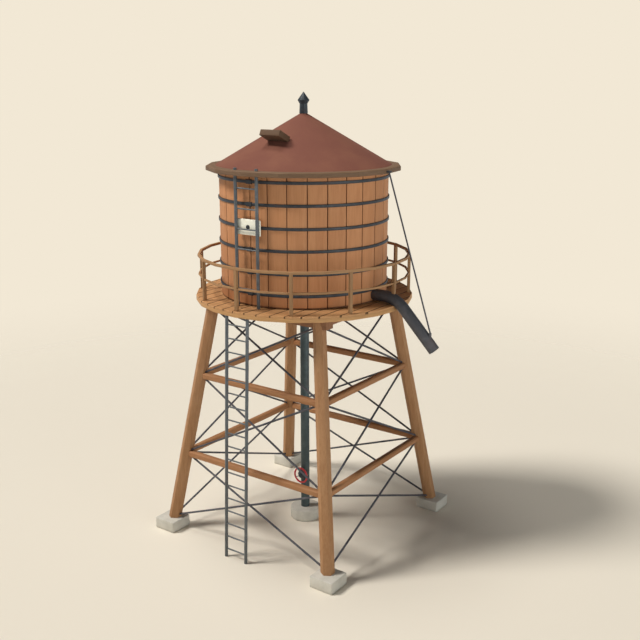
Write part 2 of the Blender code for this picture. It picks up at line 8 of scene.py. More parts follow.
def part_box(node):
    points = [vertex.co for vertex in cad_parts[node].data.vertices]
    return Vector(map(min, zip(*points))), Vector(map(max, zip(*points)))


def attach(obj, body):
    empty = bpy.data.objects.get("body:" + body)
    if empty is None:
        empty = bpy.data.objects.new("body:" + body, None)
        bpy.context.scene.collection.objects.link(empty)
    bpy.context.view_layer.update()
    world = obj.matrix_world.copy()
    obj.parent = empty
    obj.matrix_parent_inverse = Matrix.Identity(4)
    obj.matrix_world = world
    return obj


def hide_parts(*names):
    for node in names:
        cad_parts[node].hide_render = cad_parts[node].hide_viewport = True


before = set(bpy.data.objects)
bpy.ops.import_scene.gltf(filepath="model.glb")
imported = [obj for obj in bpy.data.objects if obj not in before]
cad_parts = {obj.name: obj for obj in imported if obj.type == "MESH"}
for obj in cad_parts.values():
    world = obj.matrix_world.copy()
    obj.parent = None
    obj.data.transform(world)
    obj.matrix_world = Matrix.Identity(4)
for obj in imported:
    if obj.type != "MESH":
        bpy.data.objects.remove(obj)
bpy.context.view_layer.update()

# The studio: a pale floor that fades into a plain backdrop, a warm key light from the
# front left, a broad light overhead and a soft fill from the right. The camera looks down.

CAMERA_PLACE = (12.6265, -17.0379, 10.8981)
CAMERA_TILT = math.radians(90.0 - 14.819)
CAMERA_TURN = math.radians(35.511)
CAMERA_LENS = 50.0
CAMERA_SENSOR = 36.0
FLOOR_SIZE = 400.0
FLOOR_COLOR = "#EBE3D3"
FADE_START = 4.0
FADE_END = 28.0
# The far lights: strength, width of the disc, turn and tilt from straight overhead, colour
FAR_LIGHTS = {"key": (2.61, 0.26, -48.0, 38.5, (1.0, 0.97, 0.93)),
              "fill": (0.95, 0.70, 83.0, 84.0, (0.93, 0.98, 1.0))}
OVERHEAD_PLACE = (-5.0, -0.8, 34.0)
OVERHEAD_WIDTH = 10.0
OVERHEAD_POWER = 2850.0
OVERHEAD_COLOR = (1.0, 0.98, 0.95)
# The room's own light: its strength at the horizon and overhead, and how high the walls reach
HORIZON_LIGHT = 0.80
CEILING_LIGHT = 0.04
WALL_TOP = 0.35
ROOM_COLOR = (0.96, 0.98, 1.0, 1.0)
BACKDROP_COLOR = "#F2E8D5"


def linear(code):
    """A hex colour as linear light."""
    shares = [int(code[i:i + 2], 16) / 255.0 for i in (1, 3, 5)]
    return [s / 12.92 if s <= 0.04045 else ((s + 0.055) / 1.055) ** 2.4 for s in shares] + [1.0]


def add(tree, kind, inputs=None, **settings):
    """Add a shader node with its settings, and set or link its inputs."""
    made = tree.nodes.new("ShaderNode" + kind)
    for key, value in settings.items():
        setattr(made, key, value)
    for key, value in (inputs or {}).items():
        if isinstance(value, bpy.types.NodeSocket):
            tree.links.new(value, made.inputs[key])
        else:
            made.inputs[key].default_value = value
    return made


def new_finish(name, roughness, metallic=0.0, specular=0.5):
    """A material with a Principled shader; returns it with its node tree and shader."""
    finish = bpy.data.materials.new(name)
    finish.use_nodes = True
    shader = finish.node_tree.nodes["Principled BSDF"]
    shader.inputs["Roughness"].default_value = roughness
    shader.inputs["Metallic"].default_value = metallic
    shader.inputs["Specular IOR Level"].default_value = specular
    return finish, finish.node_tree, shader


camera = bpy.data.objects.new("camera", bpy.data.cameras.new("camera"))
camera.data.lens = CAMERA_LENS
camera.data.sensor_width = CAMERA_SENSOR
camera.location = CAMERA_PLACE
camera.rotation_euler = (CAMERA_TILT, 0.0, CAMERA_TURN)
bpy.context.scene.collection.objects.link(camera)
bpy.context.scene.camera = camera
bpy.context.scene.view_settings.view_transform = "Standard"

for name, (strength, width, turn, tilt, color) in FAR_LIGHTS.items():
    lamp = bpy.data.objects.new(name, bpy.data.lights.new(name, "SUN"))
    lamp.data.energy = strength
    lamp.data.angle = width
    lamp.data.color = color
    lamp.rotation_euler = (math.radians(tilt), 0.0, math.radians(turn))
    bpy.context.scene.collection.objects.link(lamp)
lamp = bpy.data.objects.new("overhead", bpy.data.lights.new("overhead", "AREA"))
lamp.data.energy = OVERHEAD_POWER
lamp.data.shape = "DISK"
lamp.data.size = OVERHEAD_WIDTH
lamp.data.color = OVERHEAD_COLOR
lamp.location = OVERHEAD_PLACE
bpy.context.scene.collection.objects.link(lamp)

backdrop = bpy.data.worlds.new("backdrop")
bpy.context.scene.world = backdrop
backdrop.use_nodes = True
room = backdrop.node_tree
room.nodes["Background"].inputs["Color"].default_value = ROOM_COLOR
upwards = add(room, "SeparateXYZ", {"Vector": add(room, "TexCoord").outputs["Generated"]})
walls = add(room, "MapRange", {"Value": upwards.outputs["Z"], "From Max": WALL_TOP,
                               "To Min": HORIZON_LIGHT, "To Max": CEILING_LIGHT},
            interpolation_type="SMOOTHSTEP")
room.links.new(walls.outputs["Result"], room.nodes["Background"].inputs["Strength"])
seen = add(room, "Background", {"Color": linear(BACKDROP_COLOR), "Strength": 1.0})
either = add(room, "MixShader", {"Fac": add(room, "LightPath").outputs["Is Camera Ray"]})
room.links.new(room.nodes["Background"].outputs["Background"], either.inputs[1])
room.links.new(seen.outputs["Background"], either.inputs[2])
room.links.new(either.outputs["Shader"], room.nodes["World Output"].inputs["Surface"])

bpy.ops.object.select_all(action="DESELECT")
bpy.ops.mesh.primitive_plane_add(size=FLOOR_SIZE)
floor = bpy.context.object
floor.name = "floor"
finish, tree, shader = new_finish("pale floor", roughness=0.95, specular=0.1)
shader.inputs["Base Color"].default_value = linear(FLOOR_COLOR)
place = add(tree, "TexCoord").outputs["Object"]
away = add(tree, "VectorMath", {0: place}, operation="LENGTH").outputs["Value"]
fade = add(tree, "MapRange", {"Value": away, "From Min": FADE_START, "From Max": FADE_END},
           interpolation_type="SMOOTHSTEP")
blend = add(tree, "MixShader", {"Fac": fade.outputs["Result"]})
tree.links.new(shader.outputs["BSDF"], blend.inputs[1])
tree.links.new(add(tree, "BsdfTransparent").outputs["BSDF"], blend.inputs[2])
tree.links.new(blend.outputs["Shader"], tree.nodes["Material Output"].inputs["Surface"])
floor.data.materials.append(finish)


# Footings: four square blocks of pale cast concrete, and the round pier of the riser,
# cast in a form of sixteen flats. Their arrises are rubbed round, their faces pitted.

FOOTING_EASE = 0.020
PIER_SIDES = 16
# Damp from the ground: how high it rises, and its share of the colour at the foot
GROUND_DAMP = (0.07, 0.35)
DAMP_COLOR = "#8F8878"


def only(piece):
    """Select one piece and make it active."""
    bpy.ops.object.select_all(action="DESELECT")
    piece.select_set(True)
    bpy.context.view_layer.objects.active = piece


def placed(name):
    """Name the piece just added and move its place into its mesh."""
    piece = bpy.context.object
    piece.name = piece.data.name = name
    bpy.ops.object.transform_apply(location=True, rotation=True, scale=True)
    return piece


def block(name, low, high):
    """A block between two corners."""
    low, high = Vector(low), Vector(high)
    bpy.ops.object.select_all(action="DESELECT")
    bpy.ops.mesh.primitive_cube_add(size=1.0, location=(low + high) / 2, scale=high - low)
    return placed(name)


def post(name, start, end, radius, sides):
    """A round or many-sided bar between two points."""
    start, end = Vector(start), Vector(end)
    along = end - start
    bpy.ops.object.select_all(action="DESELECT")
    bpy.ops.mesh.primitive_cylinder_add(
        vertices=sides, radius=radius, depth=along.length, location=(start + end) / 2,
        rotation=along.to_track_quat("Z", "Y").to_euler())
    return placed(name)


def applied(piece, kind, **settings):
    """Give a piece a modifier and apply it."""
    modifier = piece.modifiers.new(kind.lower(), kind)
    for key, value in settings.items():
        setattr(modifier, key, value)
    only(piece)
    bpy.ops.object.modifier_apply(modifier=modifier.name)


def smoothed(piece, angle=40.0):
    """Shade the round stretches of a piece smooth."""
    only(piece)
    bpy.ops.object.shade_smooth_by_angle(angle=math.radians(angle))
    return piece


def eased(piece, width, segments=2, angle=30.0, smooth=35.0):
    """Round the arrises of a piece, and shade its round stretches smooth."""
    applied(piece, "BEVEL", width=width, segments=segments, limit_method="ANGLE",
            angle_limit=math.radians(angle))
    return smoothed(piece, smooth)


def copied(piece, name, move=Matrix()):
    """A copy of a piece with a mesh of its own, moved or turned."""
    twin = bpy.data.objects.new(name, piece.data.copy())
    twin.data.name = name
    twin.data.transform(move)
    bpy.context.scene.collection.objects.link(twin)
    return twin


def fitted(piece, finish, *nodes, body="root"):
    """Give a piece its finish and let it stand for its plain nodes."""
    piece.data.materials.clear()
    piece.data.materials.append(finish)
    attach(piece, body)
    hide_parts(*nodes)


def new_group(name, inputs, outputs):
    """A shader node group; inputs are (name, type, default)."""
    group = bpy.data.node_groups.new(name, "ShaderNodeTree")
    for label, kind, default in inputs:
        socket = group.interface.new_socket(label, in_out="INPUT", socket_type="NodeSocket" + kind)
        socket.default_value = default
    for label, kind in outputs:
        group.interface.new_socket(label, in_out="OUTPUT", socket_type="NodeSocket" + kind)
    entry = group.nodes.new("NodeGroupInput").outputs
    leave = group.nodes.new("NodeGroupOutput").inputs
    return group, entry, leave


def use(tree, group, inputs):
    """Place a node group in a material."""
    return add(tree, "Group", inputs, node_tree=group)


def mixed(tree, share, first, second):
    """A colour between two, by a share; each is a hex code or comes from a node."""
    first, second = (linear(c) if isinstance(c, str) else c for c in (first, second))
    return add(tree, "MixRGB", {"Fac": share, "Color1": first, "Color2": second}).outputs["Color"]


def bumped(tree, shader, height, strength, distance):
    """Give a surface a fine relief."""
    relief = add(tree, "Bump", {"Strength": strength, "Distance": distance, "Height": height})
    tree.links.new(relief.outputs["Normal"], shader.inputs["Normal"])


# Broad patches of weather: stains on concrete, rust on iron, bleaching on wood
weather, entry, leave = new_group(
    "weather", [("Place", "Vector", (0, 0, 0)), ("Scale", "Float", 1.0),
                ("From", "Float", 0.4), ("To", "Float", 0.7)], [("Mask", "Float")])
patches = add(weather, "TexNoise", {"Vector": entry["Place"], "Scale": entry["Scale"],
                                    "Detail": 5.0, "Roughness": 0.62})
spread = add(weather, "MapRange", {"Value": patches.outputs["Fac"], "From Min": entry["From"],
                                   "From Max": entry["To"]}, interpolation_type="SMOOTHSTEP")
weather.links.new(spread.outputs["Result"], leave["Mask"])

concrete, tree, shader = new_finish("cast concrete", roughness=0.88, specular=0.3)
place = add(tree, "TexCoord").outputs["Object"]
stain = use(tree, weather, {"Place": place, "Scale": 3.1, "From": 0.35, "To": 0.72})
dry_and_unshaded = mixed(tree, stain.outputs["Mask"], "#D1CDC2", "#C2BEB2")
height = add(tree, "SeparateXYZ", {"Vector": place}).outputs["Z"]
damp = add(tree, "MapRange", {"Value": height, "From Min": 0.0, "From Max": GROUND_DAMP[0],
                              "To Min": GROUND_DAMP[1], "To Max": 0.0}).outputs["Result"]
tree.links.new(mixed(tree, damp, dry_and_unshaded, DAMP_COLOR), shader.inputs["Base Color"])
pits = add(tree, "TexNoise", {"Vector": place, "Scale": 42.0, "Detail": 6.0, "Roughness": 0.7})
bumped(tree, shader, pits.outputs["Fac"], strength=0.35, distance=0.006)

low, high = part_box("footing_front_left")
footing = eased(block("footing_block_front_left", low, high), FOOTING_EASE, segments=3)
fitted(footing, concrete, "footing_front_left")
for corner in ("front_right", "back_right", "back_left"):
    move = Matrix.Translation(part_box(f"footing_{corner}")[0] - low)
    fitted(copied(footing, f"footing_block_{corner}", move), concrete, f"footing_{corner}")

low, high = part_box("riser_pier")
pier = post("pier_drum", (0, 0, low.z), (0, 0, high.z), (high.y - low.y) / 2, PIER_SIDES)
fitted(eased(pier, FOOTING_EASE, segments=3, angle=15.0), concrete, "riser_pier")


# Legs: four six-sided timbers that lean inwards from their footings. Sawn softwood,
# oiled and sun-bleached, with the grain along their length and the arrises eased.

TIMBER_EASE = 0.008
# The most that sun and wear bleach a patch of wood
BLEACH_SHARE = 0.16
# Corners that lie closer than this are merged
MERGE_DISTANCE = 0.0001

# Wood grain that runs along the Z axis of the place given: fine fibres and a broad figure
grain, entry, leave = new_group(
    "grain", [("Place", "Vector", (0, 0, 0)), ("Fibres", "Float", 60.0), ("Figure", "Float", 5.0)],
    [("Grain", "Float"), ("Height", "Float")])
fibre_place = add(grain, "Mapping", {"Vector": entry["Place"], "Scale": (1.0, 1.0, 0.035)})
fibres = add(grain, "TexNoise", {"Vector": fibre_place.outputs["Vector"],
                                 "Scale": entry["Fibres"], "Detail": 4.0, "Roughness": 0.6})
figure_place = add(grain, "Mapping", {"Vector": entry["Place"], "Scale": (1.0, 1.0, 0.10)})
figure = add(grain, "TexNoise", {"Vector": figure_place.outputs["Vector"],
                                 "Scale": entry["Figure"], "Detail": 3.0, "Distortion": 1.4})
both = add(grain, "Math", {0: fibres.outputs["Fac"], 1: figure.outputs["Fac"]}, operation="ADD")
grain.links.new(add(grain, "MapRange", {"Value": both.outputs["Value"], "From Min": 0.70,
                                        "From Max": 1.30}).outputs["Result"], leave["Grain"])
grain.links.new(fibres.outputs["Fac"], leave["Height"])

# A tone for each board, from its number, darker at its two edges
board_tone, entry, leave = new_group(
    "board tone", [("Number", "Float", 0.0), ("Spread", "Float", 0.1), ("Start", "Float", 0.0),
                   ("Edge", "Float", 0.0), ("Shade", "Float", 1.0)], [("Tone", "Float")])
whole_number = add(board_tone, "Math", {0: entry["Number"]}, operation="FLOOR")
chance = add(board_tone, "TexWhiteNoise", {"W": whole_number.outputs["Value"]},
             noise_dimensions="1D")
centred = add(board_tone, "Math", {0: chance.outputs["Value"], 1: 0.5}, operation="SUBTRACT")
scaled = add(board_tone, "Math", {0: centred.outputs["Value"], 1: entry["Spread"], 2: 1.0},
             operation="MULTIPLY_ADD")
inwards = add(board_tone, "Math", {0: entry["Number"], 1: 0.5}, operation="PINGPONG")
clean = add(board_tone, "MapRange", {"Value": inwards.outputs["Value"], "From Min": entry["Start"],
                                     "From Max": entry["Edge"], "To Min": entry["Shade"],
                                     "To Max": 1.0}, interpolation_type="SMOOTHSTEP")
edged = add(board_tone, "Math", {0: scaled.outputs["Value"], 1: clean.outputs["Result"]},
            operation="MULTIPLY")
board_tone.links.new(edged.outputs["Value"], leave["Tone"])

GRAIN_ALONG = {"X": (0.0, math.pi / 2, 0.0), "Y": (math.pi / 2, 0.0, 0.0), "Z": (0.0, 0.0, 0.0)}


def shaded(tree, color, share):
    """A colour made lighter or darker by a share."""
    return add(tree, "VectorMath", {0: color, "Scale": share}, operation="SCALE").outputs["Vector"]


def wood(name, dark, light, along, bleach="#C9A680", number=None, spread=0.0, edge=(0.0, 0.0, 1.0)):
    """Sawn wood: grain along an axis, or along a place that the caller works out. Boards that
    are numbered get a tone each, and dirt in their edges: where it starts to clear and is
    gone, as shares of the width, and its shade."""
    finish, tree, shader = new_finish(name, roughness=0.72, specular=0.35)
    place = add(tree, "TexCoord").outputs["Object"]
    if along in GRAIN_ALONG:
        fibre = add(tree, "Mapping", {"Vector": place, "Rotation": GRAIN_ALONG[along]})
        fibre = fibre.outputs["Vector"]
    else:
        fibre = along(tree, place)
    drawn = use(tree, grain, {"Place": fibre})
    base = mixed(tree, drawn.outputs["Grain"], dark, light)
    if number:
        tone = use(tree, board_tone, {"Number": number(tree, place), "Spread": spread,
                                      "Start": edge[0], "Edge": edge[1], "Shade": edge[2]})
        base = shaded(tree, base, tone.outputs["Tone"])
    worn = use(tree, weather, {"Place": place, "Scale": 0.9, "From": 0.45, "To": 0.8})
    share = add(tree, "Math", {0: worn.outputs["Mask"], 1: BLEACH_SHARE}, operation="MULTIPLY")
    tree.links.new(mixed(tree, share.outputs["Value"], base, bleach), shader.inputs["Base Color"])
    bumped(tree, shader, drawn.outputs["Height"], strength=0.25, distance=0.004)
    return finish


def dressed(name, node, ease):
    """A copy of a plain node, merged, with its arrises eased."""
    piece = copied(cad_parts[node], name)
    only(piece)
    bpy.ops.mesh.customdata_custom_splitnormals_clear()
    bpy.ops.object.mode_set(mode="EDIT")
    bpy.ops.mesh.select_all(action="SELECT")
    bpy.ops.mesh.remove_doubles(threshold=MERGE_DISTANCE)
    bpy.ops.mesh.dissolve_limited(angle_limit=math.radians(1.0))
    bpy.ops.object.mode_set(mode="OBJECT")
    return eased(piece, ease)


leg_wood = wood("leg timber", "#9D7049", "#B3875E", "Z")
for corner in ("front_left", "front_right", "back_right", "back_left"):
    leg = dressed(f"leg_timber_{corner}", f"leg_{corner}", TIMBER_EASE)
    fitted(leg, leg_wood, f"leg_{corner}")


# Girts: two rings of four square timbers, cut to meet the legs. The same sawn softwood
# as the legs, with broad chamfers, and the grain along each timber.

girt_wood = {"front": wood("girt timber along x", "#9A6A43", "#AF7E55", "X"),
             "left": wood("girt timber along y", "#9A6A43", "#AF7E55", "Y")}
girt_wood["back"] = girt_wood["front"]
girt_wood["right"] = girt_wood["left"]
for level in ("lower", "upper"):
    for side, finish in girt_wood.items():
        girt = dressed(f"girt_timber_{level}_{side}", f"girt_{level}_{side}", TIMBER_EASE / 2)
        fitted(girt, finish, f"girt_{level}_{side}")


# Beams under the deck: two caps across the leg tops and two beams between them. Heavy
# dark sawn timber, square at the ends.

beam_wood = {"X": wood("beam timber along x", "#7C5638", "#94694A", "X", bleach="#9C7A5C"),
             "Y": wood("beam timber along y", "#7C5638", "#94694A", "Y", bleach="#9C7A5C")}
for side in ("front", "back"):
    fitted(dressed(f"cap_timber_{side}", f"cap_beam_{side}", TIMBER_EASE / 2),
           beam_wood["X"], f"cap_beam_{side}")
for side in ("left", "right"):
    fitted(dressed(f"cross_timber_{side}", f"cross_beam_{side}", TIMBER_EASE / 2),
           beam_wood["Y"], f"cross_beam_{side}")


# Bracing: two crossed iron rods in each bay of each side, painted slate grey. Each rod
# runs from one leg's centre line to the other's, and its ends are let into the timber.

ROD_RADIUS = 0.025
ROD_SIDES = 12
# Half the distance between the legs' centre lines at their foot, and the foot's height
LEG_FOOT = (2.371, 0.279)
LEG_LEAN = 0.1453
# The heights between which each bay's rods run
BAYS = {"bottom": (0.307, 1.997), "middle": (2.02, 4.02), "top": (4.03, 5.73)}
SIDE_TURNS = {"right": math.pi / 2, "back": math.pi, "left": -math.pi / 2}
# Roughness of sound paint and of rust
IRON_ROUGHNESS = (0.50, 0.75)
RUST_COLOR = "#6B4A3A"


def iron(name, paint, worn, rust_share=0.30):
    """Painted iron: slate paint, thinner in places, with a little rust."""
    finish, tree, shader = new_finish(name, IRON_ROUGHNESS[0], metallic=0.25)
    place = add(tree, "TexCoord").outputs["Object"]
    thin = use(tree, weather, {"Place": place, "Scale": 6.0, "From": 0.42, "To": 0.70})
    paint = mixed(tree, thin.outputs["Mask"], paint, worn)
    rusty = use(tree, weather, {"Place": place, "Scale": 2.3, "From": 0.56, "To": 0.74})
    share = add(tree, "Math", {0: rusty.outputs["Mask"], 1: rust_share}, operation="MULTIPLY")
    tree.links.new(mixed(tree, share.outputs["Value"], paint, RUST_COLOR), shader.inputs["Base Color"])
    matt = add(tree, "MapRange", {"Value": rusty.outputs["Mask"], "To Min": IRON_ROUGHNESS[0],
                                  "To Max": IRON_ROUGHNESS[1]})
    tree.links.new(matt.outputs["Result"], shader.inputs["Roughness"])
    skin = add(tree, "TexNoise", {"Vector": place, "Scale": 55.0, "Detail": 4.0})
    bumped(tree, shader, skin.outputs["Fac"], strength=0.15, distance=0.002)
    return finish


def leg_spread(height):
    """Half the distance between the legs' centre lines at a height."""
    return LEG_FOOT[0] - LEG_LEAN * (height - LEG_FOOT[1])


def joined(name, pieces):
    """Join pieces into one."""
    only(pieces[0])
    for piece in pieces:
        piece.select_set(True)
    bpy.ops.object.join()
    pieces[0].name = pieces[0].data.name = name
    return pieces[0]


rod_iron = iron("rod iron", "#4A4A50", "#5C5B60")
for bay, (low, high) in BAYS.items():
    foot, head = leg_spread(low), leg_spread(high)
    rods = [smoothed(post("rod", (-lean * foot, -foot, low), (lean * head, -head, high),
                          ROD_RADIUS, ROD_SIDES)) for lean in (-1, 1)]
    pair = joined(f"rods_{bay}_front", rods)
    fitted(pair, rod_iron, f"brace_{bay}_front")
    for side, turn in SIDE_TURNS.items():
        twin = copied(pair, f"rods_{bay}_{side}", Matrix.Rotation(turn, 4, "Z"))
        fitted(twin, rod_iron, f"brace_{bay}_{side}")


# Deck: boards laid front to back, over joists and a rim of twenty-four straight lengths.
# Tan softwood, worn pale by feet and sun, with open joints between boards.

DECK_SIDES = 24
BOARD_PITCH = 0.309
BOARD_START = -0.055
BOARD_THICKNESS = 0.045
BOARD_JOINT = 0.018
BOARD_EASE = 0.004
BOARD_CLEARANCE = 0.001
RIM_DEPTH = 0.07
JOISTS = 9
JOIST_PITCH = 0.58
JOIST_WIDTH = 0.09
JOIST_END_GAP = 0.01


def turned(name, outline, steps, sweep=2 * math.pi):
    """An outline of (distance from the axis, height) points spun round the tower's axis."""
    whole_turn = sweep == 2 * math.pi
    bpy.ops.object.select_all(action="DESELECT")
    bpy.ops.mesh.primitive_circle_add(vertices=len(outline),
                                      fill_type="NOTHING" if whole_turn else "NGON")
    piece = placed(name)
    for vert, (radius, height) in zip(piece.data.vertices, outline):
        vert.co = (radius, 0.0, height)
    bpy.ops.object.mode_set(mode="EDIT")
    bpy.ops.mesh.select_all(action="SELECT")
    bpy.ops.mesh.spin(steps=steps, angle=sweep, center=(0, 0, 0), axis=(0, 0, -1))
    bpy.ops.mesh.select_all(action="SELECT")
    bpy.ops.mesh.remove_doubles(threshold=MERGE_DISTANCE)
    bpy.ops.mesh.dissolve_degenerate(threshold=MERGE_DISTANCE)
    bpy.ops.mesh.select_all(action="SELECT")
    bpy.ops.mesh.delete_loose()
    bpy.ops.mesh.select_all(action="SELECT")
    bpy.ops.mesh.normals_make_consistent(inside=False)
    bpy.ops.object.mode_set(mode="OBJECT")
    return piece


def trimmed(piece, place, outwards):
    """Saw a piece off square at a plane, and keep the inner side."""
    only(piece)
    bpy.ops.object.mode_set(mode="EDIT")
    bpy.ops.mesh.select_all(action="SELECT")
    bpy.ops.mesh.bisect(plane_co=place, plane_no=outwards, use_fill=True, clear_outer=True)
    bpy.ops.object.mode_set(mode="OBJECT")


def board_number(tree, place):
    """The number of the deck board at a place."""
    across = add(tree, "SeparateXYZ", {"Vector": place}).outputs["X"]
    shifted = add(tree, "Math", {0: across, 1: BOARD_START}, operation="SUBTRACT")
    return add(tree, "Math", {0: shifted.outputs["Value"], 1: BOARD_PITCH},
               operation="DIVIDE").outputs["Value"]


def round_place(tree, place):
    """A place unrolled round the tower's axis, with the grain running round it."""
    parts = add(tree, "SeparateXYZ", {"Vector": place}).outputs
    angle = add(tree, "Math", {0: parts["Y"], 1: parts["X"]}, operation="ARCTAN2")
    flat = add(tree, "CombineXYZ", {"X": parts["X"], "Y": parts["Y"]})
    away = add(tree, "VectorMath", {0: flat.outputs["Vector"]}, operation="LENGTH").outputs["Value"]
    arc = add(tree, "Math", {0: angle.outputs["Value"], 1: away}, operation="MULTIPLY")
    return add(tree, "CombineXYZ", {"X": away, "Y": parts["Z"],
                                    "Z": arc.outputs["Value"]}).outputs["Vector"]


low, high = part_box("deck")
deck_radius = high.x
board_under = high.z - BOARD_THICKNESS
boards = []
first = math.floor((-deck_radius - BOARD_START) / BOARD_PITCH)
last = math.ceil((deck_radius - BOARD_START) / BOARD_PITCH)
for number in range(first, last):
    left = BOARD_START + number * BOARD_PITCH + BOARD_JOINT / 2
    right = left + BOARD_PITCH - BOARD_JOINT
    board = post("board", (0, 0, board_under), (0, 0, high.z), deck_radius, DECK_SIDES)
    if left > -deck_radius:
        trimmed(board, (left, 0, 0), (-1, 0, 0))
    if right < deck_radius:
        trimmed(board, (right, 0, 0), (1, 0, 0))
    boards.append(eased(board, BOARD_EASE, segments=1, angle=60.0))
deck_wood = wood("deck boards", "#B98858", "#CE9B68", "Y", number=board_number, spread=0.10,
                 edge=(0.042, 0.060, 0.30))
fitted(joined("deck_boards", boards), deck_wood, "deck")

frame_top = board_under - BOARD_CLEARANCE
reach = deck_radius - RIM_DEPTH
rim = turned("deck_rim", ((deck_radius, low.z), (deck_radius, frame_top), (reach, frame_top),
                          (reach, low.z)), DECK_SIDES)
rim_wood = wood("deck rim", "#B68756", "#CB9B65", round_place)
fitted(eased(rim, BOARD_EASE, angle=20.0), rim_wood, "deck")

joists = []
for number in range(JOISTS):
    y = (number - (JOISTS - 1) / 2) * JOIST_PITCH
    half = math.sqrt(reach ** 2 - (abs(y) + JOIST_WIDTH / 2) ** 2) - JOIST_END_GAP
    joists.append(block("joist", (-half, y - JOIST_WIDTH / 2, low.z),
                        (half, y + JOIST_WIDTH / 2, frame_top)))
joist_wood = wood("joists", "#94704C", "#A98258", "X")
fitted(eased(joined("deck_joists", joists), BOARD_EASE, segments=1), joist_wood, "deck")


# Railing: twelve square posts round the deck's edge, with a heavy top rail and a lighter
# middle rail of straight lengths. Planed softwood, with joints at and between the posts.
# The first post stands on the spout.

RAILING_RADIUS = 2.53
RAILING_SIDES = 24
RAILS = {"top": (6.9915, 0.062), "middle": (6.540, 0.046)}
POST_COUNT = 12
POST_WIDTH = 0.075
POST_INTO_RAIL = 0.010
POST_OVER_SPOUT = 6.18
RAIL_EASE = 0.008

rail_wood = wood("rail wood", "#9A734C", "#B1875C", round_place)
post_wood = wood("railing post wood", "#926D48", "#A78057", "Z")
for name, (height, width) in RAILS.items():
    inner, outer = RAILING_RADIUS - width / 2, RAILING_RADIUS + width / 2
    rail = turned(f"rail_{name}", ((outer, height - width / 2), (outer, height + width / 2),
                                   (inner, height + width / 2), (inner, height - width / 2)),
                  RAILING_SIDES)
    fitted(eased(rail, RAIL_EASE), rail_wood, "railing")
deck_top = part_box("deck")[1].z
post_top = RAILS["top"][0] - RAILS["top"][1] / 2 + POST_INTO_RAIL
upright = block("post", (RAILING_RADIUS - POST_WIDTH / 2, -POST_WIDTH / 2, deck_top),
                (RAILING_RADIUS + POST_WIDTH / 2, POST_WIDTH / 2, post_top))
posts = [upright]
for number in range(1, POST_COUNT):
    posts.append(copied(upright, "post", Matrix.Rotation(2 * math.pi * number / POST_COUNT, 4, "Z")))
trimmed(upright, (0, 0, POST_OVER_SPOUT), (0, 0, -1))
fitted(eased(joined("railing_posts", posts), RAIL_EASE / 2), post_wood, "railing")


# Tank: twenty-eight upright staves drawn together by the hoops, round a plank floor.
# Red-brown softwood with eased arrises, so that a dark groove shows at each joint.

STAVES = 28
STAVE_FLATS = 4
STAVE_SWEEP = 2 * math.pi / STAVES
FIRST_SEAM = math.radians(-90.0) + 3 * STAVE_SWEEP
TANK_RADIUS = 2.0
STAVE_THICKNESS = 0.07
STAVE_JOINT = 0.014
STAVE_EASE = 0.012
# Painted shade at the staves' feet where they stand on the deck: where it starts to clear and is gone,
# in metres, and its shade
FOOT_SHADE = (0.015, 0.05, 0.30)
LINING_GAP = 0.035
LINING_SHORT = 0.002


def stave_number(tree, place):
    """The number of the stave at a place."""
    parts = add(tree, "SeparateXYZ", {"Vector": place}).outputs
    angle = add(tree, "Math", {0: parts["Y"], 1: parts["X"]}, operation="ARCTAN2")
    shifted = add(tree, "Math", {0: angle.outputs["Value"], 1: FIRST_SEAM}, operation="SUBTRACT")
    return add(tree, "Math", {0: shifted.outputs["Value"], 1: STAVE_SWEEP},
               operation="DIVIDE").outputs["Value"]


walls = [f"tank_wall_{side}" for side in ("right", "back", "left", "front")]
low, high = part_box("tank_wall_front")
joint_turn = STAVE_JOINT / TANK_RADIUS
stave = turned("stave", ((TANK_RADIUS, low.z), (TANK_RADIUS, high.z),
                         (TANK_RADIUS - STAVE_THICKNESS, high.z),
                         (TANK_RADIUS - STAVE_THICKNESS, low.z)),
               STAVE_FLATS, STAVE_SWEEP - joint_turn)
eased(stave, STAVE_EASE, angle=40.0, smooth=25.0)
stave.data.transform(Matrix.Rotation(FIRST_SEAM + joint_turn / 2, 4, "Z"))
staves = [stave]
for number in range(1, STAVES):
    staves.append(copied(stave, "stave", Matrix.Rotation(number * STAVE_SWEEP, 4, "Z")))
stave_wood = wood("stave wood", "#BA7E51", "#CA8E5F", "Z", bleach="#D0A27A",
                  number=stave_number, spread=0.08, edge=(0.012, 0.040, 0.55))
fitted(joined("tank_staves", staves), stave_wood, *walls)

# Painted shade: the staves' feet are darkened where they stand on the deck
tree = stave_wood.node_tree
shader = tree.nodes["Principled BSDF"]
height = add(tree, "SeparateXYZ", {"Vector": add(tree, "TexCoord").outputs["Object"]}).outputs["Z"]
dry_and_unshaded = add(tree, "MapRange", {"Value": height, "From Min": low.z + FOOT_SHADE[0],
                             "From Max": low.z + FOOT_SHADE[1], "To Min": FOOT_SHADE[2], "To Max": 1.0},
          interpolation_type="SMOOTHSTEP").outputs["Result"]
unshaded_color = shader.inputs["Base Color"].links[0].from_socket
tree.links.new(shaded(tree, unshaded_color, dry_and_unshaded), shader.inputs["Base Color"])

foot, head = low.z + LINING_SHORT, high.z - LINING_SHORT
inner, outer = TANK_RADIUS - STAVE_THICKNESS, TANK_RADIUS - LINING_GAP
lining = turned("tank_lining", ((outer, foot), (outer, head), (inner, head), (inner, foot)),
                2 * STAVES)
finish, tree, shader = new_finish("pitch in the joints", roughness=0.8)
pitch = use(tree, weather, {"Place": add(tree, "TexCoord").outputs["Object"], "Scale": 8.0})
tree.links.new(mixed(tree, pitch.outputs["Mask"], "#6A3D22", "#7A4A2C"), shader.inputs["Base Color"])
fitted(lining, finish, *walls)

plank_floor = dressed("tank_floor_planks", "tank_floor", STAVE_EASE / 2)
fitted(plank_floor, wood("tank floor wood", "#8A5A3C", "#A06E4A", "Y"), "tank_floor")


# Hoops: six iron bands round the staves, each closed in front by a lug with a bolt
# through it. Painted dark grey, rounded at the edges.

